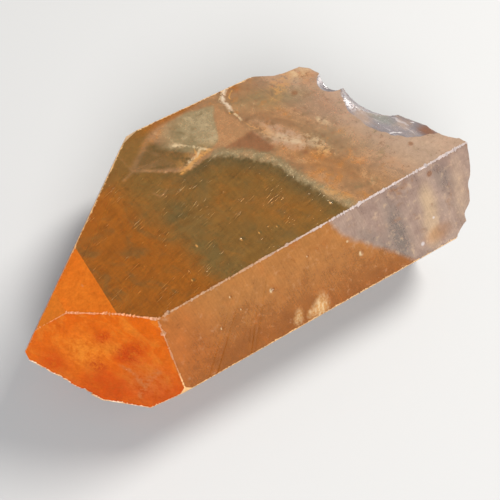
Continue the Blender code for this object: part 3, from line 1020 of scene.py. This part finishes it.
def tip_paint(material):
    """The faces of the point: bright tangerine with redder clouds and a pale wisp."""
    paint = Paint(material, TANGERINE)
    straight = paint.warp(0.4, 1.6, 41.0)
    middle = paint.cloud(1.5, 44.0, 6.0, 0.65)
    fine = paint.cloud(0.5, 43.0, 6.0, 0.72)
    smoke = paint.wisps(1.8, 42.0, (0.4, -0.7, -0.5), 1.6)
    paint.lay(APRICOT, (smoke, 0.48, 0.66), 0.6)
    low = paint.add(middle, 4.0, paint.along(0.25, 0.0, -1.0))
    paint.lay(EMBER, (low, -10.0, -6.5), 0.7)
    for place, reach, tint, amount in TIP_CLOUDS:
        paint.lay(tint, paint.blob(place, reach, soft=0.8), (fine, 0.3, 0.58), amount)
    wisp = paint.path(
        ((-16.2, -9.6, 7.6), (-15.3, -10.3, 7.1), (-14.7, -11.6, 5.8), (-15.4, -11.6, 4.6)), 0.4)
    twig = paint.path(((-14.7, -11.6, 5.9), (-13.9, -11.6, 6.9), (-13.3, -11.8, 7.6)), 0.5)
    pale = paint.math("MAXIMUM", wisp, twig)
    paint.lay(PEACH, pale, (fine, 0.34, 0.6), 0.8)
    hook = paint.path(((-16.4, -2.7, 12.7), (-15.8, -2.9, 12.8), (-15.8, -3.5, 12.7)), 0.14)
    paint.lay(CREAM, hook, 0.6)

    # The facets nearest the point get little light, so they are painted brighter.
    turned = paint.node("NewGeometry").outputs["True Normal"]
    for face, start, end, tint, amount in (
            ("tip_top", 0.95, 0.99, BRIGHT_ORANGE, 0.85), ("steep_top", 0.98, 0.995, SOFT_ORANGE, 0.8)):
        agrees = paint.dot(turned, face_plane(face)[0])
        paint.lay(tint, (agrees, start, end), amount)
    crack = paint.wisps(0.8, 48.0, (0.5, -0.4, -0.75), 1.6, 2.4)
    crack = paint.fade(paint.math("ABSOLUTE", paint.math("SUBTRACT", crack, 0.5)), 0.05, 0.0)
    near = paint.times(paint.fade(middle, 0.54, 0.66), 0.3)
    for place, reach in CRACKED:
        near = paint.math("MAXIMUM", near, paint.blob(place, reach, soft=0.7))
    paint.lay(RUST, crack, near, 0.8)
    paint.here = straight
    paint.tone((fine, 0.4), (middle, 0.2), (paint.cloud(0.2, 47.0, 2.0), 0.2))
    paint.lay(CREAM, paint.specks(1.4, 0.05, 46.0, 0.2), 0.7)
    paint.finish(paint.add(fine, 0.12, 0.16), fine, 0.004)


def side_paint(material):
    """The faces turned away: amber with clouds, orange towards the point."""
    paint = Paint(material, TAN)
    straight = paint.warp(0.5, 2.5, 61.0)
    broad = paint.cloud(5.0, 62.0, 4.0)
    middle = paint.cloud(1.6, 64.0, 6.0, 0.65)
    fine = paint.cloud(0.6, 63.0, 6.0, 0.7)
    smoke = paint.wisps(3.0, 65.0, (1.0, 0.3, 0.2), 1.8)
    paint.lay(AMBER, (broad, 0.4, 0.62))
    paint.lay(PINK, (paint.cloud(4.0, 67.0), 0.46, 0.66), 0.7)
    paint.lay(UMBER, (smoke, 0.5, 0.36), 0.8)
    paint.lay(SAGE, (middle, 0.5, 0.36), (broad, 0.5, 0.34), 0.5)
    paint.lay(GOLD, (smoke, 0.52, 0.68), (fine, 0.4, 0.6), 0.5)
    to_tip = paint.add(middle, 5.0, paint.along(-1.0, 0.0, 0.0))
    paint.lay(TANGERINE, (to_tip, 5.0, 17.0), 0.85)
    paint.lay(LILAC, (to_tip, -8.0, -17.0), 0.7)
    paint.here = straight
    paint.tone((paint.strokes((1.0, 0.0), 3.0, 0.16, 69.0), 0.16), (fine, 0.28), (middle, 0.18),
               (paint.cloud(0.18, 68.0, 2.0), 0.16))
    paint.lay(CREAM, paint.specks(1.2, 0.05, 66.0, 0.3), 0.7)
    # The pits and bruises get a painted highlight and a painted shade.
    paint.lit_and_shaded_pits("prism_back", CREAM, UMBER)
    paint.lit_and_shaded_pits("prism_back_under", CREAM, UMBER)
    paint.finish(paint.add(fine, 0.12, 0.1), middle, 0.008)


def worn_paint(material):
    """Edges rubbed to a frost: pinkish by the break, tan in the middle, golden low down, and whiter low by
    the point, partly frost and partly a painted glow.
    """
    paint = Paint(material, TAN_FROST)
    grain = paint.cloud(0.2, 81.0, 4.0, 0.7)
    patches = paint.cloud(1.1, 82.0, 3.0)
    along = paint.along(1.0, 0.0, 0.0)
    low = paint.along(0.0, 0.0, -1.0)
    back = paint.along(0.0, 1.0, 0.0)
    paint.lay(FROST, (along, -4.0, 9.0))
    paint.lay(ORANGE_FROST, (along, -10.5, -13.5))
    golden = paint.math("MAXIMUM", paint.fade(low, -8.5, -6.5), paint.fade(back, -1.5, 1.5))
    paint.lay(GOLD_FROST, golden, 0.85)
    # Low by the point the edges are painted whiter: partly frost, partly a painted glow of light from
    # inside.
    rim = paint.times(paint.fade(low, -8.5, -6.5), paint.fade(along, -14.5, -17.0))
    paint.lay(WHITE_FROST, rim, (patches, 0.42, 0.6), 0.9)
    paint.tone((grain, 0.5), (patches, 0.4))
    paint.lay(CREAM, (grain, 0.58, 0.7), 0.3)
    paint.finish(paint.add(grain, 0.3, 0.3), grain, 0.02)


HEAP_RUN = (0.4, -0.9)
BROKEN_CLOUDS = (
    ((17.7, -2.2, 13.2), 1.5, 0.7, HEAP_RUN, BROKEN_GREEN, 0.85),
    ((15.9, -1.2, 13.4), 1.2, 0.8, (0.0, 1.0), BLUSH, 0.7),
    ((20.3, -6.2, 13.7), 0.9, 0.7, (0.3, -0.9), RUSSET, 0.8),
    ((16.6, 1.0, 13.3), 0.45, 0.3, HEAP_RUN, RUSSET, 0.9),
)


def broken_paint(material):
    """The fresh break: pale lilac and glassy, rust here and there, crushed white at places, and two
    painted white glints.
    """
    paint = Paint(material, BROKEN_LILAC)
    paint.warp(0.3, 1.2, 91.0)
    broad = paint.cloud(3.0, 94.0, 4.0)
    fine = paint.cloud(0.4, 92.0, 5.0, 0.7)
    run = paint.strokes((-0.45, 0.9, 0.1), 2.6, 0.22, 95.0)
    paint.lay(BLUSH, (broad, 0.48, 0.66), 0.7)
    paint.lay(CRUSHED_WHITE_AND_GLINT, (run, 0.58, 0.74), 0.45)
    paint.lay(SMOKE, (run, 0.48, 0.34), 0.5)
    for centre, reach, wide, turn, tint, amount in BROKEN_CLOUDS:
        paint.lay(tint, paint.blob(centre, reach, wide, turn, 0.6), amount)
    heap = paint.blob((16.2, 1.0, 13.4), 1.5, 0.9, HEAP_RUN, 0.5)
    crushed = paint.times(paint.fade(fine, 0.6, 0.72), 0.5)
    crushed = paint.math("MAXIMUM", crushed, paint.times(heap, paint.fade(fine, 0.44, 0.58)))
    crushed = paint.math("MAXIMUM", crushed, paint.times(
        paint.blob((15.2, 5.6, 13.6), 1.1, 0.8, soft=0.5), paint.fade(fine, 0.42, 0.54)))
    paint.lay(CRUSHED_WHITE_AND_GLINT, crushed, 0.85)
    # Painted glints: a white highlight line along the near rim and a small white spot.
    paint.lay(CRUSHED_WHITE_AND_GLINT, paint.path(((16.6, -4.4, 13.7), (17.4, -4.6, 13.75), (18.1, -5.0, 13.8)), 0.16))
    paint.lay(CRUSHED_WHITE_AND_GLINT, paint.path(((19.7, -4.3, 13.6), (19.9, -4.5, 13.6)), 0.16))
    paint.finish(paint.add(crushed, 0.3, 0.05), fine, 0.03)


# ---- the crystal

WARM, DEEP_WARM, WHITE = (1.0, 0.9, 0.75), (1.0, 0.6, 0.3), (1.0, 1.0, 1.0)
# In the order of the slots: paint, name, roughness, transmission, gloss and gloss's tint.
QUARTZES = (
    (top_paint, "quartz_top", 0.1, 0.62, 0.25, WARM),
    (front_paint, "quartz_front", 0.1, 0.58, 0.25, WARM),
    (side_paint, "quartz_sides", 0.1, 0.6, 0.25, WARM),
    (tip_paint, "quartz_tip", 0.2, 0.5, 0.1, DEEP_WARM),
    (worn_paint, "quartz_worn", 0.5, 0.3, 0.5, WHITE),
    (broken_paint, "quartz_broken", 0.14, 0.6, 0.5, WHITE),
)
materials = [quartz(*settings) for _, *settings in QUARTZES]
for material, (paint_on, *_) in zip(materials, QUARTZES):
    paint_on(material)
crystal = crystal_mesh(materials)
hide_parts(NODE)
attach(crystal, BODY)

# ---- floor, light, camera

FLOOR_GAP = 0.00006
PALE = (0.37, 0.366, 0.36, 1.0)

bpy.ops.mesh.primitive_plane_add(size=3.0, location=(0.0, 0.0, -FLOOR_GAP))
floor = bpy.context.object
floor.name = "floor"
floor.data.materials.append(made_of("pale_floor", {"Base Color": PALE, "Roughness": 0.8}))


def softbox(name, place, size, power, colour):
    light = bpy.data.lights.new(name, "AREA")
    light.shape = "DISK"
    light.size = size
    light.energy = power
    light.color = colour
    lamp = bpy.data.objects.new(name, light)
    lamp.location = place
    lamp.rotation_euler = (-Vector(place)).to_track_quat("-Z", "Y").to_euler()
    bpy.context.scene.collection.objects.link(lamp)


softbox("key_light", (0.42, 0.06, 0.36), 0.24, 5.6, (1.0, 0.98, 0.94))
softbox("fill_light", (-0.18, -0.36, 0.34), 0.3, 4.0, (0.99, 0.99, 1.0))

world = bpy.data.worlds.new("studio")
world.use_nodes = True
background = world.node_tree.nodes["Background"]
background.inputs["Color"].default_value = (0.80, 0.86, 0.95, 1.0)
background.inputs["Strength"].default_value = 0.3
bpy.context.scene.world = world
bpy.context.scene.view_settings.view_transform = "Standard"

CAMERA_AT = (-24.79, -46.0, 78.85)
CAMERA_TURN = (33.99, 0.33, -32.24)
LENS = 63.83

view = bpy.data.cameras.new("camera")
view.lens = LENS
view.sensor_width = 36.0
view.clip_start = 0.001
camera = bpy.data.objects.new("camera", view)
camera.location = Vector(CAMERA_AT) * MM
camera.rotation_euler = [math.radians(angle) for angle in CAMERA_TURN]
bpy.context.scene.collection.objects.link(camera)
bpy.context.scene.camera = camera
